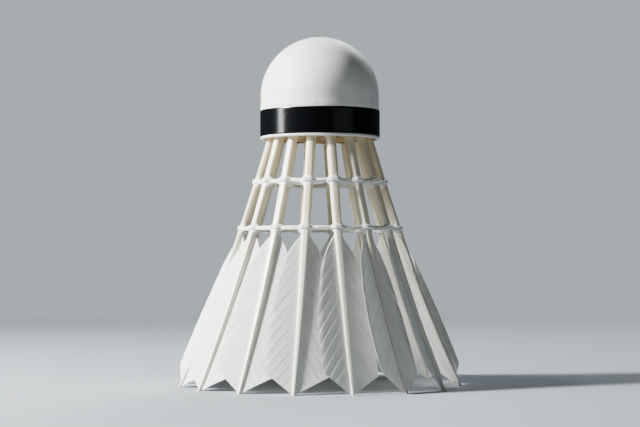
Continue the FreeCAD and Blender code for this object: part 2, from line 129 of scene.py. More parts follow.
class Build:
    """Collects points and faces, with one flat coordinate per point, into one mesh."""

    def __init__(self):
        self.points, self.flats, self.faces, self.count = [], [], [], 0

    def add(self, points, flats, faces):
        """faces count from the first of these points."""
        points = np.asarray(points, dtype=float).reshape(-1, 3)
        self.points.append(points)
        self.flats.append(np.broadcast_to(np.asarray(flats, dtype=float).reshape(-1, 2), (len(points), 2)))
        for group in faces:
            self.faces.extend((np.asarray(group) + self.count).tolist())
        self.count += len(points)

    def add_sheet(self, outer, inner, flats):
        """A thin closed sheet between two grids of points of the same shape."""
        rows, columns = outer.shape[:2]
        size = rows * columns
        index = np.arange(size).reshape(rows, columns)
        border = np.concatenate([index[0, :-1], index[:-1, -1], index[-1, :0:-1], index[:0:-1, 0]])
        following = np.roll(border, -1)
        walls = np.stack([border, border + size, following + size, following], axis=1)
        faces = [grid_faces(rows, columns), grid_faces(rows, columns, first=size, flip=True), walls]
        self.add(np.concatenate([outer.reshape(-1, 3), inner.reshape(-1, 3)]), np.tile(flats.reshape(-1, 2), (2, 1)), faces)

    def add_tube(self, rings, flats):
        """A closed skin round rings of points, with a flat cap at each end."""
        count, around = rings.shape[:2]
        caps = [[np.arange(around)[::-1]], [np.arange(around) + (count - 1) * around]]
        self.add(rings, flats, [grid_faces(count, around, wrap_columns=True)] + caps)

    def finish(self, name, material):
        mesh = bpy.data.meshes.new(name)
        points = np.concatenate(self.points) * MM
        mesh.from_pydata(points.tolist(), [], self.faces)
        layer = mesh.uv_layers.new(name="flat")
        corners = np.empty(len(mesh.loops), dtype=np.int32)
        mesh.loops.foreach_get("vertex_index", corners)
        layer.data.foreach_set("uv", np.concatenate(self.flats)[corners].astype(np.float32).ravel())
        mesh.validate()
        made = bpy.data.objects.new(name, mesh)
        bpy.context.scene.collection.objects.link(made)
        mesh.materials.append(material)
        set_normals(made)
        return made


def set_normals(made, smooth_below=50.0):
    """Turns every face outwards and shades the mesh smooth, except over sharp corners."""
    import bmesh
    work = bmesh.new()
    work.from_mesh(made.data)
    bmesh.ops.recalc_face_normals(work, faces=work.faces)
    work.to_mesh(made.data)
    work.free()
    made.data.shade_smooth()
    made.data.set_sharp_from_angle(angle=math.radians(smooth_below))


def lathe(build, radii, heights, turns, bulge=None):
    """Spins a closed profile round Z.  bulge(turn, height, radius) gives the change in radius."""
    turn = np.linspace(0.0, 2.0 * math.pi, turns, endpoint=False)[None, :]
    radius = np.repeat(np.asarray(radii, dtype=float)[:, None], turns, axis=1)
    height = np.repeat(np.asarray(heights, dtype=float)[:, None], turns, axis=1)
    if bulge is not None:
        radius = radius + bulge(turn, height, radius)
    points = np.stack([radius * np.cos(turn), radius * np.sin(turn), height], axis=2)
    flats = np.stack([np.broadcast_to(turn, radius.shape) * HEAD_RADIUS, height], axis=2)
    return points, flats


def own(piece, slot, *nodes):
    """Makes a piece ride on the only body and stand for its CAD nodes, which it hides; slot is not used."""
    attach(piece, "root")
    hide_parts(*nodes)


# ---------------------------------------------------------------------------------------------------------------
# Materials

def add_node(tree, kind, inputs=None, **settings):
    made = tree.nodes.new("ShaderNode" + kind)
    for key, value in settings.items():
        setattr(made, key, value)
    for key, value in (inputs or {}).items():
        if isinstance(value, bpy.types.NodeSocket):
            tree.links.new(value, made.inputs[key])
        else:
            made.inputs[key].default_value = value
    return made


def new_material(name, **inputs):
    """A Principled material; returns it with its tree and shader."""
    material = bpy.data.materials.new(name)
    material.use_nodes = True
    tree = material.node_tree
    shader = tree.nodes["Principled BSDF"]
    for key, value in inputs.items():
        shader.inputs[key.replace("_", " ")].default_value = value
    return material, tree, shader


def millimetres(tree):
    """Object coordinates in millimetres."""
    place = add_node(tree, "TexCoord").outputs["Object"]
    return add_node(tree, "VectorMath", {0: place, "Scale": 1.0 / MM}, operation="SCALE").outputs[0]


def flat_coordinates(tree):
    return add_node(tree, "UVMap", uv_map="flat").outputs[0]


def stretched(tree, place, x, y, z):
    return add_node(tree, "VectorMath", {0: place, 1: (x, y, z)}, operation="MULTIPLY").outputs[0]


def noise(tree, place, scale, detail=3.0, roughness=0.55):
    inputs = {"Vector": place, "Scale": scale, "Detail": detail, "Roughness": roughness}
    return add_node(tree, "TexNoise", inputs).outputs["Fac"]


def cells(tree, place, scale, feature="F1", output="Distance"):
    return add_node(tree, "TexVoronoi", {"Vector": place, "Scale": scale}, feature=feature).outputs[output]


def calculate(tree, operation, a, b=0.0, c=0.0, clamp=False):
    made = add_node(tree, "Math", {0: a, 1: b, 2: c}, operation=operation)
    made.use_clamp = clamp
    return made.outputs[0]


def ranged(tree, value, low, high, new_low, new_high):
    inputs = {"Value": value, "From Min": low, "From Max": high, "To Min": new_low, "To Max": new_high}
    return add_node(tree, "MapRange", inputs).outputs["Result"]


def blend(tree, share, a, b):
    made = add_node(tree, "Mix", data_type="RGBA")
    for socket, value in ((made.inputs["Factor"], share), (made.inputs[6], a), (made.inputs[7], b)):
        if isinstance(value, bpy.types.NodeSocket):
            tree.links.new(value, socket)
        else:
            socket.default_value = value
    return made.outputs[2]


def colour(red, green, blue):
    return (red, green, blue, 1.0)


def bump(tree, shader, height, depth, strength=1.0):
    """Bumps a shader by a height of 0 to 1, depth millimetres deep."""
    made = add_node(tree, "Bump", {"Height": height, "Distance": depth * MM, "Strength": strength})
    tree.links.new(made.outputs[0], shader.inputs["Normal"])


def tone(tree):
    """The piece's own seeded tone, 0 to 1."""
    return add_node(tree, "Attribute", attribute_type="OBJECT", attribute_name="tone").outputs["Fac"]


def make_leather():
    material, tree, shader = new_material("leather_white", Specular_IOR_Level=0.4)
    place = millimetres(tree)
    warp = add_node(tree, "TexNoise", {"Vector": place, "Scale": 0.9, "Detail": 2.0}).outputs["Color"]
    bent = add_node(tree, "VectorMath", {0: warp, 1: (0.5, 0.5, 0.5), 2: place}, operation="MULTIPLY_ADD").outputs[0]
    pebbles = cells(tree, bent, 2.6, "SMOOTH_F1")
    creases = cells(tree, bent, 1.7, "DISTANCE_TO_EDGE")
    crease_line = ranged(tree, creases, 0.0, 0.12, 0.0, 1.0)
    pores = noise(tree, place, 7.0, 2.0)
    height = calculate(tree, "MULTIPLY_ADD", pebbles, -0.55, calculate(tree, "MULTIPLY", crease_line, 0.35))
    height = calculate(tree, "MULTIPLY_ADD", pores, 0.25, height)
    bump(tree, shader, height, 0.035, 0.8)
    clean, aged = colour(0.80, 0.80, 0.77), colour(0.71, 0.69, 0.64)
    cloud = ranged(tree, noise(tree, place, 0.11, 4.0, 0.6), 0.42, 0.72, 0.0, 0.6)
    base = blend(tree, cloud, clean, aged)
    # painted shade: the white is darkened along the creases, where shade would fall
    base = blend(tree, ranged(tree, crease_line, 0.0, 1.0, 0.18, 0.0), base, colour(0.52, 0.50, 0.46))
    scuffs = ranged(tree, noise(tree, stretched(tree, place, 0.25, 0.25, 1.4), 0.7, 6.0, 0.7), 0.63, 0.75, 0.0, 0.25)
    base = blend(tree, scuffs, base, colour(0.55, 0.55, 0.54))
    tree.links.new(base, shader.inputs["Base Color"])
    tree.links.new(ranged(tree, noise(tree, place, 0.5, 4.0), 0.3, 0.7, 0.42, 0.58), shader.inputs["Roughness"])
    return material


def make_tape():
    material, tree, shader = new_material("black_tape", Specular_IOR_Level=0.55)
    place = millimetres(tree)
    run = stretched(tree, flat_coordinates(tree), 0.05, 2.2, 1.0)
    lines = noise(tree, run, 3.0, 3.0)
    dents = noise(tree, place, 0.35, 2.0)
    height = calculate(tree, "MULTIPLY_ADD", dents, 6.0, lines)
    bump(tree, shader, height, 0.008, 0.6)
    dust = ranged(tree, noise(tree, place, 2.4, 6.0, 0.75), 0.60, 0.78, 0.0, 0.35)
    tree.links.new(blend(tree, dust, colour(0.008, 0.009, 0.011), colour(0.05, 0.052, 0.055)), shader.inputs["Base Color"])
    tree.links.new(ranged(tree, lines, 0.3, 0.7, 0.17, 0.27), shader.inputs["Roughness"])
    return material


def make_cork():
    material, tree, shader = new_material("cork", Specular_IOR_Level=0.25, Roughness=0.85)
    place = millimetres(tree)
    warp = add_node(tree, "TexNoise", {"Vector": place, "Scale": 1.2, "Detail": 2.0}).outputs["Color"]
    bent = add_node(tree, "VectorMath", {0: warp, 1: (0.5, 0.5, 0.5), 2: place}, operation="MULTIPLY_ADD").outputs[0]
    grain = add_node(tree, "TexVoronoi", {"Vector": bent, "Scale": 0.85}).outputs["Color"]
    shade = add_node(tree, "SeparateColor", {0: grain}).outputs[0]
    base = blend(tree, shade, colour(0.50, 0.34, 0.19), colour(0.74, 0.57, 0.38))
    seam = ranged(tree, cells(tree, bent, 0.85, "DISTANCE_TO_EDGE"), 0.0, 0.09, 0.7, 0.0)
    base = blend(tree, seam, base, colour(0.30, 0.18, 0.09))
    specks = ranged(tree, noise(tree, place, 2.6, 5.0, 0.7), 0.60, 0.68, 0.0, 0.8)
    base = blend(tree, specks, base, colour(0.20, 0.11, 0.05))
    tree.links.new(base, shader.inputs["Base Color"])
    height = calculate(tree, "SUBTRACT", noise(tree, place, 3.0, 5.0), calculate(tree, "ADD", seam, specks))
    bump(tree, shader, height, 0.12, 0.8)
    return material


def make_quill():
    """Horn: cream and slightly clear near the head, chalky white along the webs."""
    material, tree, shader = new_material("quill", Specular_IOR_Level=0.5, Subsurface_Weight=0.12, Subsurface_Scale=0.0006)
    shader.inputs["Subsurface Radius"].default_value = (1.0, 0.8, 0.55)
    flat = flat_coordinates(tree)
    down = add_node(tree, "SeparateXYZ", {0: flat}).outputs[0]
    horn = blend(tree, tone(tree), colour(0.74, 0.67, 0.50), colour(0.80, 0.75, 0.61))
    base = blend(tree, ranged(tree, down, 8.0, 34.0, 0.0, 1.0), horn, colour(0.84, 0.83, 0.77))
    streaks = noise(tree, stretched(tree, flat, 0.12, 2.2, 1.0), 1.6, 5.0, 0.65)
    base = blend(tree, ranged(tree, streaks, 0.42, 0.75, 0.0, 0.55), base, colour(0.60, 0.52, 0.37))
    flecks = noise(tree, stretched(tree, flat, 0.35, 2.6, 1.0), 3.4, 3.0, 0.6)
    base = blend(tree, ranged(tree, flecks, 0.62, 0.74, 0.0, 0.5), base, colour(0.93, 0.91, 0.84))
    tree.links.new(base, shader.inputs["Base Color"])
    blotches = noise(tree, stretched(tree, flat, 0.3, 1.0, 1.0), 0.8, 4.0)
    tree.links.new(ranged(tree, blotches, 0.3, 0.7, 0.26, 0.44), shader.inputs["Roughness"])
    height = calculate(tree, "ADD", streaks, noise(tree, stretched(tree, flat, 0.5, 4.0, 1.0), 3.0, 2.0))
    bump(tree, shader, height, 0.03, 0.6)
    return material


def make_web_look():
    """Barbs side by side, each with slanting barbules; the flat coordinates are barb number and distance along it."""
    material, tree, shader = new_material(
        "feather_vane", Specular_IOR_Level=0.35, Sheen_Weight=0.12, Sheen_Roughness=0.4,
        Subsurface_Weight=0.3, Subsurface_Scale=0.0004,
    )
    shader.inputs["Subsurface Radius"].default_value = (1.0, 1.0, 0.95)
    flat = flat_coordinates(tree)
    parts = add_node(tree, "SeparateXYZ", {0: flat})
    barb, along = parts.outputs[0], parts.outputs[1]
    across = calculate(tree, "ABSOLUTE", calculate(tree, "SUBTRACT", calculate(tree, "FRACT", barb), 0.5))
    ridge = ranged(tree, across, 0.08, 0.5, 1.0, 0.0)
    slant = calculate(tree, "MULTIPLY_ADD", across, -1.6, along)
    barbules = calculate(tree, "SINE", calculate(tree, "MULTIPLY", slant, 2.0 * math.pi * 6.0))
    barbules = calculate(tree, "MULTIPLY", barbules, calculate(tree, "SUBTRACT", 1.0, ridge))
    fluff = noise(tree, stretched(tree, flat, 2.0, 1.2, 1.0), 2.0, 4.0)
    height = calculate(tree, "MULTIPLY_ADD", barbules, 0.2, calculate(tree, "MULTIPLY_ADD", fluff, 0.5, ridge))
    bump(tree, shader, height, 0.03, 0.7)
    white = blend(tree, tone(tree), colour(0.80, 0.80, 0.77), colour(0.86, 0.87, 0.86))
    # painted shade: the grooves between the barbs are painted darker than the barbs themselves
    base = blend(tree, ranged(tree, ridge, 0.0, 1.0, 0.22, 0.0), white, colour(0.60, 0.60, 0.57))
    single = noise(tree, stretched(tree, flat, 0.9, 0.05, 1.0), 1.0, 2.0)
    base = blend(tree, ranged(tree, single, 0.4, 0.75, 0.0, 0.4), base, colour(0.66, 0.65, 0.61))
    group = noise(tree, stretched(tree, flat, 0.28, 0.05, 1.0), 1.0, 3.0)
    base = blend(tree, ranged(tree, group, 0.42, 0.70, 0.0, 0.45), base, colour(0.64, 0.64, 0.61))
    tree.links.new(base, shader.inputs["Base Color"])
    tree.links.new(ranged(tree, fluff, 0.3, 0.7, 0.5, 0.68), shader.inputs["Roughness"])
    return material


def make_thread():
    """White thread soaked in clear glue."""
    material, tree, shader = new_material("thread", Specular_IOR_Level=0.5, Subsurface_Weight=0.1, Subsurface_Scale=0.0004)
    place = millimetres(tree)
    stains = ranged(tree, noise(tree, place, 0.5, 4.0), 0.4, 0.7, 0.0, 0.6)
    tree.links.new(blend(tree, stains, colour(0.84, 0.84, 0.80), colour(0.76, 0.73, 0.63)), shader.inputs["Base Color"])
    lumps = noise(tree, place, 1.8, 3.0)
    fibres = noise(tree, place, 9.0, 2.0)
    bump(tree, shader, calculate(tree, "MULTIPLY_ADD", fibres, 0.25, lumps), 0.06, 0.7)
    tree.links.new(ranged(tree, lumps, 0.3, 0.7, 0.24, 0.42), shader.inputs["Roughness"])
    return material


def make_glue():
    material, tree, shader = new_material("glue", Specular_IOR_Level=0.5, Subsurface_Weight=0.2, Subsurface_Scale=0.0005)
    place = millimetres(tree)
    cloud = noise(tree, place, 0.9, 3.0)
    tree.links.new(blend(tree, cloud, colour(0.80, 0.74, 0.58), colour(0.66, 0.55, 0.34)), shader.inputs["Base Color"])
    tree.links.new(ranged(tree, cloud, 0.3, 0.7, 0.14, 0.30), shader.inputs["Roughness"])
    bump(tree, shader, noise(tree, place, 2.0, 2.0), 0.05, 0.5)
    return material


# ---------------------------------------------------------------------------------------------------------------
# Head

HEAD_TURNS = 360


def build_leather(material):
    """The skin: a rolled lip at the open face, a slight swell over the tape's edge, small puckers, and the ball."""
    rng = np.random.default_rng(11)
    lip_radius = 0.22
    lip_turn = np.linspace(-0.5 * math.pi, 0.0, 6)
    lip_r = HEAD_RADIUS - lip_radius + lip_radius * np.cos(lip_turn)
    lip_z = SKIRT_HEIGHT + lip_radius + lip_radius * np.sin(lip_turn)
    side_z = np.linspace(SKIRT_HEIGHT + 0.3, EQUATOR - 0.1, 48)
    dome = np.linspace(0.0, 0.5 * math.pi, 80)
    radii = np.concatenate([lip_r, np.full(side_z.size, HEAD_RADIUS), HEAD_RADIUS * np.cos(dome[:-1])])
    heights = np.concatenate([lip_z, side_z, EQUATOR + HEAD_RADIUS * np.sin(dome[:-1])])

    def swell(turn, height, radius):
        under_tape = smoothstep(height, TAPE_BOTTOM - 0.15, TAPE_BOTTOM + 0.1) * (1 - smoothstep(height, TAPE_TOP - 0.1, TAPE_TOP + 0.15))
        over_tape = np.exp(-(((height - TAPE_TOP - 0.75) / 0.75) ** 2)) + np.exp(-(((height - SKIRT_HEIGHT - 0.35) / 0.3) ** 2))
        puckers = polar_noise(turn, height, rng, 14, 12.0, 46)
        reach = np.exp(-np.clip(height - TAPE_TOP, 0.0, None) / 1.6) * (1 - under_tape)
        dents = polar_noise(turn, height, rng, 8, 14.0, 7)
        fade = np.clip(radius / HEAD_RADIUS, 0.0, 1.0)
        return -0.03 * under_tape + 0.09 * over_tape + 0.022 * puckers * reach + 0.018 * dents * fade

    points, flats = lathe(None, radii, heights, HEAD_TURNS, swell)
    rows = points.shape[0]
    inner = points.copy()
    scale = (np.hypot(points[..., 0], points[..., 1]) - LEATHER_THICKNESS).clip(0.05, None)
    length = np.hypot(points[..., 0], points[..., 1])
    inner[..., :2] *= (scale / length)[..., None]
    inner[..., 2] = np.where(points[..., 2] > EQUATOR, points[..., 2] - LEATHER_THICKNESS, points[..., 2])
    build = Build()
    crown = np.arange(HEAD_TURNS) + (rows - 1) * HEAD_TURNS
    build.add(points, flats, [grid_faces(rows, HEAD_TURNS, wrap_columns=True), [crown]])
    build.add(inner, flats, [grid_faces(rows, HEAD_TURNS, wrap_columns=True, flip=True), [crown[::-1]]])
    ring = np.arange(HEAD_TURNS)
    following = np.roll(ring, -1)
    size = rows * HEAD_TURNS
    build.faces.extend(np.stack([ring, ring + size, following + size, following], axis=1).tolist())
    own(build.finish("head_leather", material), "leather_white", "leather_cover")


def build_tape(material):
    """The tape: wound once and a little over its own start, with edges that wander slightly."""
    rng = np.random.default_rng(12)
    seam, lap = math.radians(62.0), math.radians(11.0)
    steps = 420
    turn = np.linspace(0.0, 2.0 * math.pi + lap, steps)
    rise = 0.16 * smoothstep(turn, 2.0 * math.pi - 0.03, 2.0 * math.pi + 0.03)
    wander_low, wander_high = (0.035 * wobble(turn, rng, 5, 2.0 * math.pi + lap) for _ in range(2))
    buckle = 0.008 * wobble(turn, rng, 24, 2.0 * math.pi + lap)
    low, high = TAPE_BOTTOM + wander_low, TAPE_TOP + wander_high
    outside = HEAD_RADIUS + 0.015 + TAPE_THICKNESS + rise + buckle
    inside = HEAD_RADIUS - 0.01 + rise
    across = np.array([0.0, 0.012, 0.06, 0.25, 0.5, 0.75, 0.94, 0.988, 1.0])
    edge_drop = np.array([0.05, 0.015, 0.0, 0.004, 0.006, 0.004, 0.0, 0.015, 0.05])
    rings = []
    for share, drop in zip(across, edge_drop):
        rings.append((outside - drop, low + (high - low) * share))
    rings += [(inside, high), (inside, low)]
    radius = np.stack([r for r, _ in rings], axis=1)
    height = np.stack([z for _, z in rings], axis=1)
    angle = (turn + seam)[:, None]
    points = np.stack([radius * np.cos(angle), radius * np.sin(angle), height], axis=2)
    flats = np.stack([np.broadcast_to(turn[:, None] * HEAD_RADIUS, radius.shape), height], axis=2)
    build = Build()
    build.add_tube(points, flats)
    own(build.finish("edge_tape_wrap", material), "black_tape", "edge_tape")


def build_cork(material):
    """The cork under the leather: its grainy open face shows between the shafts."""
    rng = np.random.default_rng(13)
    radius = CORK_RADIUS - 0.02
    rings = 70
    face_r = np.linspace(0.15, radius - 0.15, rings)
    radii = np.concatenate([face_r, [radius], [radius]])
    heights = np.concatenate([np.full(rings, SKIRT_HEIGHT + 0.05), [SKIRT_HEIGHT + 0.25], [EQUATOR - 0.02]])
    points, flats = lathe(None, radii, heights, HEAD_TURNS)
    face = points[:rings]
    bumps = np.zeros(face.shape[:2])
    for _ in range(60):
        way = rng.uniform(0.0, 2.0 * math.pi)
        pitch = rng.uniform(0.7, 3.5)
        bumps += np.sin(pitch * (face[..., 0] * math.cos(way) + face[..., 1] * math.sin(way)) + rng.uniform(0.0, 6.3))
    face[..., 2] += 0.012 * bumps
    build = Build()
    rows = points.shape[0]
    low_cap = np.arange(HEAD_TURNS)[::-1]
    top_cap = np.arange(HEAD_TURNS) + (rows - 1) * HEAD_TURNS
    build.add(points, flats, [grid_faces(rows, HEAD_TURNS, wrap_columns=True), [low_cap], [top_cap]])
    own(build.finish("cork_disc", material), "cork", "cork_base")

    dome = np.linspace(0.0, 0.5 * math.pi, 24)[:-1]
    points, flats = lathe(None, radius * np.cos(dome), EQUATOR + radius * np.sin(dome), 96)
    rows = points.shape[0]
    build = Build()
    caps = [[np.arange(96)[::-1]], [np.arange(96) + (rows - 1) * 96]]
    build.add(points, flats, [grid_faces(rows, 96, wrap_columns=True)] + caps)
    own(build.finish("cork_ball", material), "cork", "cork_nose")


# ---------------------------------------------------------------------------------------------------------------
# Feathers

def lean_at(down):
    return ROOT_LEAN + np.clip(down, 0.0, None) / ARC_RADIUS


def beside_feather(down, out, side):
    """Points in feather 1's own plane, before it is turned to its place; side is along Y."""
    down, out, side = np.broadcast_arrays(*(np.asarray(a, dtype=float) for a in (down, out, side)))
    lean = lean_at(down)
    sunk = np.minimum(down, 0.0)
    x = ROOT_RADIUS + ARC_RADIUS * (math.cos(ROOT_LEAN) - np.cos(lean)) + sunk * math.sin(ROOT_LEAN)
    z = SKIRT_HEIGHT - ARC_RADIUS * (np.sin(lean) - math.sin(ROOT_LEAN)) - sunk * math.cos(ROOT_LEAN)
    return np.stack([x + out * np.cos(lean), side, z + out * np.sin(lean)], axis=-1)


def turned(points, feather):
    """Turns points round Z to a feather's place.  Feather 1 points along -Y."""
    turn = 2.0 * math.pi * (feather - 1) / FEATHERS - 0.5 * math.pi
    x, y = points[..., 0], points[..., 1]
    return np.stack([x * math.cos(turn) - y * math.sin(turn), x * math.sin(turn) + y * math.cos(turn), points[..., 2]], axis=-1)


def tapered(root, tip, down):
    share = np.clip(np.asarray(down, dtype=float) / FEATHER_LENGTH, 0.0, 1.0)
    return root + share ** TAPER_POWER * (tip - root)


def half_width(down):
    return tapered(ROOT_HALF_WIDTH, TIP_HALF_WIDTH, down)


def half_depth(down):
    return tapered(ROOT_HALF_DEPTH, TIP_HALF_DEPTH, down)


SHAFT_AROUND = 56
RIDGES = 17
RIDGE_HEIGHT = 0.014


def shaft_section(down, swell=0.0, ridge=0.0):
    """Out and side offsets round the shaft at each distance down it: round at the cork, then squarer, with a groove
    along the inside.  swell grows it and ridge roughens it lengthwise."""
    around = np.linspace(0.0, 2.0 * math.pi, SHAFT_AROUND, endpoint=False)[None, :]
    down = np.asarray(down, dtype=float)[:, None]
    sunk = np.clip(-down / INSERT_LENGTH, 0.0, 1.0)
    depth = half_depth(down) * (1.0 - sunk) + INSERT_END_RADIUS * sunk + swell
    width = half_width(down) * (1.0 - sunk) + INSERT_END_RADIUS * sunk + swell
    power = 2.0 / (2.4 + 1.1 * smoothstep(down, 0.0, 18.0))
    cos, sin = np.cos(around), np.sin(around)
    rough = 1.0 + ridge
    out = rough * depth * np.sign(cos) * np.abs(cos) ** power
    side = rough * width * np.sign(sin) * np.abs(sin) ** power
    groove = 0.42 * smoothstep(down, 14.0, 26.0) * depth
    inside = np.clip(-cos, 0.0, 1.0) ** 0.5
    return out + groove * np.exp(-((side / (0.38 * width)) ** 2)) * inside, side


def build_shaft(feather, material, rng):
    """A quill with fine lengthwise ridges that grow along it and die away."""
    down = np.concatenate([np.linspace(-INSERT_LENGTH, -0.5, 6), np.linspace(0.0, FEATHER_LENGTH, 110)])
    around = np.linspace(0.0, 2.0 * math.pi, SHAFT_AROUND, endpoint=False)[None, :]
    ridge = np.zeros((down.size, SHAFT_AROUND))
    for turns in rng.choice(np.arange(5, 2 * RIDGES), size=6, replace=False):
        drift = 0.5 * wobble(down, rng, 3, 45.0)[:, None]
        ridge += np.sin(turns * around + drift + rng.uniform(0.0, 2.0 * math.pi)) / 6.0 ** 0.5
    ridge *= RIDGE_HEIGHT * smoothstep(down, -0.5, 2.0)[:, None]
    knots = 0.012 * wobble(down, rng, 6, 30.0)[:, None]
    out, side = shaft_section(down, ridge=ridge + knots)
    sway = 0.05 * wobble(down, rng, 3, 60.0) * smoothstep(down, 26.0, 45.0)
    points = beside_feather(down[:, None], out, side + sway[:, None])
    tip_way = np.array([math.sin(TIP_LEAN), 0.0, -math.cos(TIP_LEAN)])
    points[-1] += tip_way * (points[-1][:, 2:3] / math.cos(TIP_LEAN))
    flats = np.stack(np.broadcast_arrays(down[:, None], around), axis=2)
    build = Build()
    build.add_tube(turned(points, feather), flats)
    piece = build.finish(f"feather_{feather:02d}_rachis", material)
    piece["tone"] = float(rng.uniform(0.0, 1.0))
    own(piece, "quill", f"feather_{feather:02d}_shaft")


def arc_between(start, end, bend, steps):
    """Points along the shorter arc between two points that bulges away from the shaft."""
    start, end = np.array(start), np.array(end)
    chord = end - start
    length = np.hypot(*chord)
    normal = np.array([-chord[1], chord[0]]) / length
    half = 0.5 * length
    share = np.linspace(-1.0, 1.0, steps)
    rise = np.sqrt(bend ** 2 - (share * half) ** 2) - math.sqrt(bend ** 2 - half ** 2)
    return start + (share[:, None] + 1.0) * 0.5 * chord + rise[:, None] * normal


def web_edge(tuck, rng):
    """A web's outer edge as side against down, from the first barb to the tip."""
    start = (WEB_START, float(half_width(WEB_START)) - 0.05)
    shoulder = (SHOULDER_DOWN + rng.normal(0.0, 0.15), SHOULDER_SIDE + 0.5 * tuck)
    end = (WEB_END + 0.2, float(half_width(WEB_END)))
    slant = (WEB_END - CORNER_DOWN) / (CORNER_SIDE - end[1])
    corner = (CORNER_DOWN - tuck * slant + rng.normal(0.0, 0.12), CORNER_SIDE + tuck)
    first = arc_between(start, shoulder, SHOULDER_BEND, 24)
    second = arc_between(shoulder, corner, EDGE_BEND, 40)
    return np.concatenate([first, second[1:], [end]])


BARB_PITCH = 0.40
BARB_ROWS = 15
BARB_LEAN, BARB_BEND = 1.15, 0.055  # how far a barb runs down per millimetre sideways, and how that grows


def barb_reach(starts, edge, rng):
    """How far sideways each barb goes before it meets the web's edge."""
    root = half_width(starts)
    tries = np.linspace(0.0, 8.5, 400)
    away = tries[None, :]
    down = starts[:, None] + BARB_LEAN * away + BARB_BEND * away ** 2
    limit = np.interp(down, edge[:, 0], edge[:, 1], left=0.0, right=0.0)
    outside = root[:, None] + away > limit
    first = np.argmax(outside, axis=1)
    return tries[np.maximum(first, 1)]


def build_web(build, feather, side_sign, rng):
    """One web: barbs as ridges on a thin closed sheet, in panels that part a little at the edge."""
    tuck = TUCK if side_sign > 0 else 0.0
    edge = web_edge(tuck, rng)
    count = int((WEB_END - 0.4 - WEB_START) / BARB_PITCH)
    columns = 2 * count + 1
    starts = WEB_START - 0.6 + (WEB_END + 0.1 - WEB_START + 0.6) * np.arange(columns) / (columns - 1)
    ridge = np.arange(columns) % 2
    reach = barb_reach(starts, edge, rng)
    reach = reach + np.where(ridge == 1, 0.018, -0.018) + rng.normal(0.0, 0.015, columns)
    reach = np.clip(reach, 0.02, None)
    share = np.linspace(0.0, 1.0, BARB_ROWS)[None, :] ** 0.9
    away = reach[:, None] * share

    tilt = WEB_TILT + math.radians(rng.normal(0.0, 0.9))
    bow = WEB_BOW * (1.0 + rng.normal(0.0, 0.05))
    splits = sorted(rng.choice(np.arange(20, columns - 24, 2), size=int(rng.integers(0, 2)), replace=False))
    bounds = [0] + list(splits) + [columns - 1]
    ripple = 0.035 * wobble(starts, rng, 6, 30.0)
    uneven = np.repeat(rng.uniform(0.35, 1.25, count + 1), 2)[:columns]
    clump = 0.03 * wobble(starts, rng, 3, 3.1) + 0.014 * wobble(starts, rng, 3, 11.0)
    curl = 0.16 * rng.uniform(0.6, 1.0)
    for low, high in zip(bounds[:-1], bounds[1:]):
        pick = slice(low, high + 1)
        inner_side = 0.7 * half_width(starts[pick])[:, None]
        side = half_width(starts[pick])[:, None] + away[pick]
        side[:, 0] = inner_side[:, 0]
        down = starts[pick][:, None] + BARB_LEAN * away[pick] + BARB_BEND * away[pick] ** 2
        parting = np.zeros(down.shape)
        place = np.arange(low, high + 1)
        for split in splits:
            near = np.exp(-np.abs(place - split) / 6.0)[:, None]
            way = 1.0 if low >= split else -1.0
            parting += way * 0.22 * near * smoothstep(share, 0.45, 1.0)
        down = down + parting
        signed = side_sign * side
        out = np.sqrt(bow ** 2 - (signed + bow * math.sin(tilt)) ** 2) - bow * math.cos(tilt) - WEB_DROP
        out = out + ripple[pick][:, None] * share + curl * smoothstep(away[pick] - reach[pick][:, None], -0.9, 0.25) * side_sign
        height = (uneven[pick] * np.where(ridge[pick] == 1, 0.018, -0.018))[:, None] * smoothstep(share, 0.0, 0.15)
        height = height + clump[pick][:, None] * smoothstep(share, 0.0, 0.5)
        thin = WEB_HALF_THICKNESS * (1.0 - 0.45 * share)
        outer = turned(beside_feather(down, out + thin + height, signed), feather)
        inner = turned(beside_feather(down, out - thin + 0.4 * height, signed), feather)
        flats = np.stack(np.broadcast_arrays(0.5 * place[:, None] + 0.0 * away[pick], away[pick] * 1.5), axis=2)
        build.add_sheet(outer, inner, flats)


def build_vane(feather, material, rng):
    build = Build()
    for side_sign in (-1, 1):
        build_web(build, feather, side_sign, rng)
    piece = build.finish(f"feather_{feather:02d}_webs", material)
    piece["tone"] = float(rng.uniform(0.0, 1.0))
    own(piece, "feather_vane", f"feather_{feather:02d}_vane")


# ---------------------------------------------------------------------------------------------------------------
# Bindings and glue

def ring_place(height):
    """Where a binding crosses a shaft: down along it, its lean there, and the ring's radius."""
    lean = math.asin(math.sin(ROOT_LEAN) + (SKIRT_HEIGHT - height) / ARC_RADIUS)
    radius = ROOT_RADIUS + ARC_RADIUS * (math.cos(ROOT_LEAN) - math.cos(lean))
    return (lean - ROOT_LEAN) * ARC_RADIUS, lean, radius


def tube_along(build, path, radius, around, twist=0.0, plies=0, closed=True):
    """A round strand along a path, with its plies standing out as a twist."""
    ahead = np.roll(path, -1, axis=0) - np.roll(path, 1, axis=0)
    if not closed:
        ahead = np.gradient(path, axis=0)
    ahead /= np.linalg.norm(ahead, axis=1)[:, None]
    up = np.cross(ahead, np.cross(np.array([0.0, 0.0, 1.0]), ahead))
    up /= np.linalg.norm(up, axis=1)[:, None]
    across = np.cross(ahead, up)
    length = np.concatenate([[0.0], np.cumsum(np.linalg.norm(np.diff(path, axis=0), axis=1))])
    turn = np.linspace(0.0, 2.0 * math.pi, around, endpoint=False)[None, :]
    wave = np.cos(plies * (turn - twist * length[:, None])) if plies else 0.0
    thick = radius * (1.0 + 0.16 * wave) + 0.0 * turn
    points = path[:, None, :] + thick[..., None] * (np.cos(turn)[..., None] * up[:, None, :] + np.sin(turn)[..., None] * across[:, None, :])
    flats = np.stack(np.broadcast_arrays(length[:, None], turn), axis=2)
    rows = len(path)
    if closed:
        build.add(points, flats, [grid_faces(rows, around, wrap_rows=True, wrap_columns=True)])
    else:
        build.add_tube(points, flats)


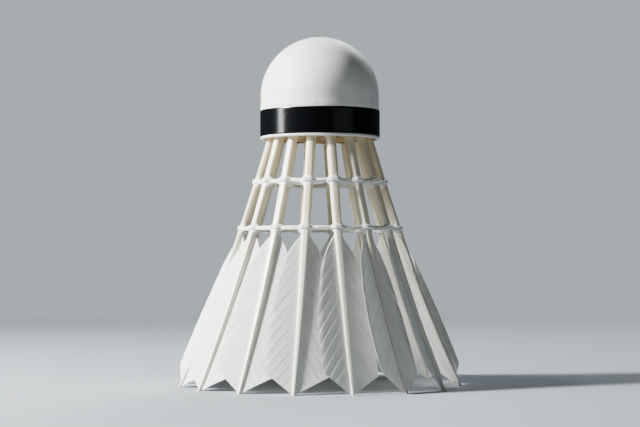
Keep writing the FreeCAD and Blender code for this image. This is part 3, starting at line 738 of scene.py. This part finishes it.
def ring_profile(height, steps):
    """The glued band of a binding all round: for each step its turn, distance from the nearest shaft's middle, and
    how far out of the shafts' middles its outer and inner faces stand.  It swells over every shaft."""
    down, lean, radius = ring_place(height)
    turn = np.linspace(0.0, 2.0 * math.pi, steps, endpoint=False)
    pitch = 2.0 * math.pi / FEATHERS
    away = np.abs((turn + 0.5 * pitch) % pitch - 0.5 * pitch) * radius
    width, depth = float(half_width(down)), float(half_depth(down))
    over_shaft = 1.0 - smoothstep(away, 0.45 * width, width + BAND_RISE)
    outer = BAND_OUTER + over_shaft * (depth + BAND_COVER - BAND_OUTER)
    inner = BAND_INNER - over_shaft * (depth + 0.75 * BAND_COVER + BAND_INNER)
    return turn, away, over_shaft, outer, inner


def on_ring(height, turn, out, drop):
    """Points of a binding: out of the shafts' middles, and drop down along their lean."""
    _, lean, radius = ring_place(height)
    reach = radius + out * math.cos(lean) + drop * math.sin(lean)
    level = height + out * math.sin(lean) - drop * math.cos(lean)
    return np.stack([reach * np.sin(turn), -reach * np.cos(turn), level], axis=-1)


def oval(around, squareness):
    """The cosines and sines of a rounded square."""
    turn = np.linspace(0.0, 2.0 * math.pi, around, endpoint=False)
    power = 2.0 / squareness
    cos, sin = np.cos(turn), np.sin(turn)
    return np.sign(cos) * np.abs(cos) ** power, np.sign(sin) * np.abs(sin) ** power


def glue_band(build, height, rng):
    """The band itself: thread and glue together, about a millimetre tall."""
    steps = 960
    turn, _, over_shaft, outer, inner = ring_profile(height, steps)
    cos, sin = oval(20, 2.6)
    middle, half = 0.5 * (outer + inner), 0.5 * (outer - inner)
    tall = BAND_HALF_HEIGHT * (1.0 + 0.08 * over_shaft + 0.07 * polar_noise(turn, 0.0, rng, 9, 1.0, 70))
    sag = 0.05 * polar_noise(turn, 0.0, rng, 7, 1.0, 24)
    out = middle[:, None] + half[:, None] * cos
    drop = sag[:, None] + tall[:, None] * sin
    points = on_ring(height, turn[:, None], out, drop)
    build.add(points, np.zeros((1, 2)), [grid_faces(steps, 20, wrap_rows=True, wrap_columns=True)])


def glue_bridge(build, feather, height, rng):
    """Glue across the gap after one feather, creeping up and down both shafts in round corners."""
    down, _, radius = ring_place(height)
    pitch = 2.0 * math.pi / FEATHERS
    width = float(half_width(down))
    gap = pitch * radius - 2.0 * width
    bite = 0.3
    along = -bite + (gap + 2.0 * bite) * np.linspace(0.0, 1.0, 72)
    from_start, from_end = along, gap - along
    tall = np.full(along.shape, 0.92 * BAND_HALF_HEIGHT)
    for away, radius_up in ((from_start, rng.uniform(*CORNER_RADII)), (from_end, rng.uniform(*CORNER_RADII))):
        left = radius_up - np.clip(away, 0.0, radius_up)
        tall = tall + radius_up - np.sqrt(radius_up ** 2 - left ** 2)
    cos, sin = oval(20, 2.0)
    near = np.minimum(from_start, from_end)
    deep = 0.38 + 0.14 * (1.0 - smoothstep(near, 0.0, 1.0))
    out = 0.22 + deep[:, None] * cos
    turn = (feather - 1) * pitch + (width + along) / radius
    build.add_tube(on_ring(height, turn[:, None], out, tall[:, None] * sin), np.zeros((1, 2)))


def glue_film(build, feather, height, rng):
    """The thin uneven skin of glue that wets a short length of shaft."""
    down, _, _ = ring_place(height)
    share = np.linspace(-1.0, 1.0, 21)[:, None]
    around = np.linspace(0.0, 2.0 * math.pi, SHAFT_AROUND, endpoint=False)[None, :]
    creep = FILM_REACH + 0.2 * polar_noise(around, 0.0, rng, 3, 1.0, 3)
    swell = FILM_THICKNESS * (1.0 - share ** 2) - 0.015
    out, side = shaft_section(np.full(share.size, down), swell)
    build.add_tube(turned(beside_feather(down + share * creep, out, side), feather), np.zeros((1, 2)))


def melt(build, voxel, smoothing):
    """Melts overlapping closed skins into one; works at one unit to the millimetre to keep the voxels sensible."""
    mesh = bpy.data.meshes.new("melt")
    mesh.from_pydata(np.concatenate(build.points).tolist(), [], build.faces)
    lump = bpy.data.objects.new("melt", mesh)
    bpy.context.scene.collection.objects.link(lump)
    set_normals(lump)
    skin = lump.modifiers.new("skin", "REMESH")
    skin.mode = "VOXEL"
    skin.voxel_size = voxel
    settle = lump.modifiers.new("settle", "SMOOTH")
    settle.factor = 0.5
    settle.iterations = smoothing
    graph = bpy.context.evaluated_depsgraph_get()
    melted = bpy.data.meshes.new_from_object(lump.evaluated_get(graph))
    bpy.data.objects.remove(lump)
    points = np.empty(len(melted.vertices) * 3)
    melted.vertices.foreach_get("co", points)
    return points.reshape(-1, 3), [list(face.vertices) for face in melted.polygons]


def strand_path(height, phase, steps, inside):
    """One strand along a face of the band, crossing its partner once in every gap."""
    turn, _, over_shaft, outer, inner = ring_profile(height, steps)
    swap = np.cos(0.5 * turn * FEATHERS + phase)
    drop = STRAND_SPREAD * swap * (1.0 - 0.1 * over_shaft)
    lift = 0.05 * np.sin(turn * FEATHERS * 0.5 + phase)
    face = inner + STRAND_RADIUS - STRAND_PROUD - lift if inside else outer - STRAND_RADIUS + STRAND_PROUD + lift
    return on_ring(height, turn, face, drop)


def wrap(build, feather, height, offset, slope, radius, grow):
    """A slanting turn of thread round one shaft."""
    down, _, _ = ring_place(height)
    turn = np.linspace(0.0, 2.0 * math.pi, 48, endpoint=False)
    out = (float(half_depth(down)) + grow) * np.cos(turn)
    side = (float(half_width(down)) + grow) * np.sin(turn)
    path = turned(beside_feather(down + offset + slope * np.sin(turn), out, side), feather)
    tube_along(build, path, radius, 12)


def build_binding(ring, material):
    """Both strands of a ring with a turn round each shaft, sunk in the glue that soaks them."""
    height = RING_HEIGHTS[ring]
    rng = np.random.default_rng({"upper": 21, "lower": 22}[ring])
    glue = Build()
    glue_band(glue, height, rng)
    for feather in range(1, FEATHERS + 1):
        glue_bridge(glue, feather, height, rng)
        glue_film(glue, feather, height, rng)
    points, faces = melt(glue, GLUE_VOXEL, 8)
    build = Build()
    build.add(points, np.zeros((1, 2)), [])
    build.faces.extend(faces)
    for phase in (0.0, math.pi):
        for inside in (False, True):
            path = strand_path(height, phase, 1920, inside)
            tube_along(build, path, STRAND_RADIUS, 14, twist=2.6, plies=3)
    for feather in range(1, FEATHERS + 1):
        wrap(build, feather, height, rng.normal(0.0, 0.04), rng.uniform(0.22, 0.38), 0.17, 0.27)
    own(build.finish(f"{ring}_binding", material), "thread", f"{ring}_thread_1", f"{ring}_thread_2")


def build_beads(material):
    """Uneven beads of glue where the shafts leave the cork."""
    rng = np.random.default_rng(31)
    build = Build()
    rings, around = 12, 36
    for feather in range(1, FEATHERS + 1):
        turn = np.linspace(0.0, 2.0 * math.pi, around, endpoint=False)[None, :]
        share = np.linspace(0.0, 1.0, rings)[:, None]
        lumpy = 1.0 + 0.22 * sum(np.sin(k * turn + rng.uniform(0.0, 6.3)) / k for k in (1, 2, 3))
        width = 0.5 * (1.0 - share) ** 1.6 * lumpy
        down = -0.25 + 1.0 * share * lumpy
        out = (ROOT_HALF_DEPTH - 0.02 + width) * np.cos(turn)
        side = (ROOT_HALF_WIDTH - 0.02 + width) * np.sin(turn)
        points = turned(beside_feather(np.broadcast_to(down, out.shape), out, side), feather)
        points[..., 2] = np.minimum(points[..., 2], SKIRT_HEIGHT + 0.12)
        build.add_tube(points, np.zeros(points.shape[:2] + (2,)))
    own(build.finish("quill_glue_beads", material), "glue", "quill_glue")


# ---------------------------------------------------------------------------------------------------------------
# Studio

CAMERA_AZIMUTH = math.radians(10.0)
CAMERA_DISTANCE, CAMERA_HEIGHT = 400.0, 29.0
AIM_HEIGHT = 40.5
LENS = 95.0
FLOOR_RADIUS = 2000.0
FADE_START, FADE_END = 150.0, 600.0
PAPER = colour(0.42, 0.45, 0.48)
BACKDROP = colour(0.36, 0.385, 0.41)
GLOW, GLOW_STRENGTH = colour(0.78, 0.84, 0.90), 0.08


def make_floor(name, base):
    """Pale paper that fades into the backdrop far away; from below it is clear, so it never hides the object."""
    material, tree, shader = new_material(name, Roughness=0.9, Specular_IOR_Level=0.1)
    place = millimetres(tree)
    speckle = noise(tree, place, 0.4, 4.0)
    darker = tuple(0.97 * channel for channel in base[:3]) + (1.0,)
    tree.links.new(blend(tree, speckle, base, darker), shader.inputs["Base Color"])
    away = add_node(tree, "VectorMath", {0: place}, operation="LENGTH").outputs["Value"]
    far = add_node(tree, "MapRange", {"Value": away, "From Min": FADE_START, "From Max": FADE_END},
                   interpolation_type="SMOOTHSTEP").outputs["Result"]
    below = add_node(tree, "NewGeometry").outputs["Backfacing"]
    clear = add_node(tree, "BsdfTransparent").outputs[0]
    mixed = add_node(tree, "MixShader", {0: calculate(tree, "MAXIMUM", far, below), 1: shader.outputs[0], 2: clear})
    tree.links.new(mixed.outputs[0], tree.nodes["Material Output"].inputs["Surface"])
    return material


def build_studio():
    """A wide round floor."""
    rings, around = 12, 96
    radii = np.linspace(0.0, FLOOR_RADIUS, rings + 1)[1:, None]
    turn = np.linspace(0.0, 2.0 * math.pi, around, endpoint=False)[None, :]
    points = np.stack([radii * np.cos(turn), radii * np.sin(turn), np.zeros((rings, around))], axis=2)
    build = Build()
    build.add(points, np.zeros((1, 2)), [grid_faces(rings, around, wrap_columns=True, flip=True), [np.arange(around)]])
    build.finish("studio_floor", make_floor("studio_paper", PAPER))


def from_camera(right, up, back):
    """A place given from the object: to the camera's right, up, and towards the camera, in millimetres."""
    x = right * math.cos(CAMERA_AZIMUTH) + back * math.sin(CAMERA_AZIMUTH)
    y = right * math.sin(CAMERA_AZIMUTH) - back * math.cos(CAMERA_AZIMUTH)
    return Vector((x, y, up)) * MM


def add_light(name, place, size, power, tint):
    light = bpy.data.lights.new(name, "AREA")
    light.shape = "RECTANGLE"
    light.size, light.size_y = (side * MM for side in size)
    light.energy = power
    light.color = tint
    made = bpy.data.objects.new(name, light)
    made.location = place
    aim = Vector((0.0, 0.0, AIM_HEIGHT * MM)) - place
    made.rotation_euler = aim.to_track_quat("-Z", "Y").to_euler()
    bpy.context.scene.collection.objects.link(made)


def build_air():
    """The backdrop the camera sees, and a dimmer glow of the same tint all round for everything else."""
    world = bpy.data.worlds.new("studio_air")
    world.use_nodes = True
    tree = world.node_tree
    glow = tree.nodes["Background"]
    glow.inputs[0].default_value = GLOW
    glow.inputs[1].default_value = GLOW_STRENGTH
    seen = add_node(tree, "Background", {0: BACKDROP, 1: 1.0})
    straight = add_node(tree, "LightPath").outputs["Is Camera Ray"]
    mixed = add_node(tree, "MixShader", {0: straight, 1: glow.outputs[0], 2: seen.outputs[0]})
    tree.links.new(mixed.outputs[0], tree.nodes["World Output"].inputs["Surface"])
    bpy.context.scene.world = world


def build_lights():
    add_light("key", from_camera(-430.0, 330.0, 130.0), (70.0, 110.0), 6.0, (1.0, 0.99, 0.97))
    add_light("strip", from_camera(-435.0, 93.0, 80.0), (80.0, 174.0), 0.65, (0.97, 0.99, 1.0))
    add_light("fill", from_camera(420.0, 120.0, 420.0), (420.0, 236.0), 0.12, (0.93, 0.97, 1.0))
    add_light("rim", from_camera(150.0, 380.0, -430.0), (200.0, 200.0), 1.2, (0.95, 0.98, 1.0))
    build_air()
    bpy.context.scene.view_settings.look = "AgX - High Contrast"


def build_camera():
    lens = bpy.data.cameras.new("camera")
    lens.lens = LENS
    lens.clip_start = 0.01
    made = bpy.data.objects.new("camera", lens)
    made.location = from_camera(0.0, CAMERA_HEIGHT, CAMERA_DISTANCE)
    aim = Vector((0.0, 0.0, AIM_HEIGHT * MM)) - made.location
    made.rotation_euler = aim.to_track_quat("-Z", "Y").to_euler()
    bpy.context.scene.collection.objects.link(made)
    bpy.context.scene.camera = made


# ---------------------------------------------------------------------------------------------------------------
# Everything together

cork, thread, quill, web_look = make_cork(), make_thread(), make_quill(), make_web_look()
build_leather(make_leather())
build_tape(make_tape())
build_cork(cork)
build_beads(make_glue())
for number in range(1, FEATHERS + 1):
    feather_rng = np.random.default_rng(100 + number)
    build_shaft(number, quill, feather_rng)
    build_vane(number, web_look, feather_rng)
for ring_name in RING_HEIGHTS:
    build_binding(ring_name, thread)
build_studio()
build_lights()
build_camera()
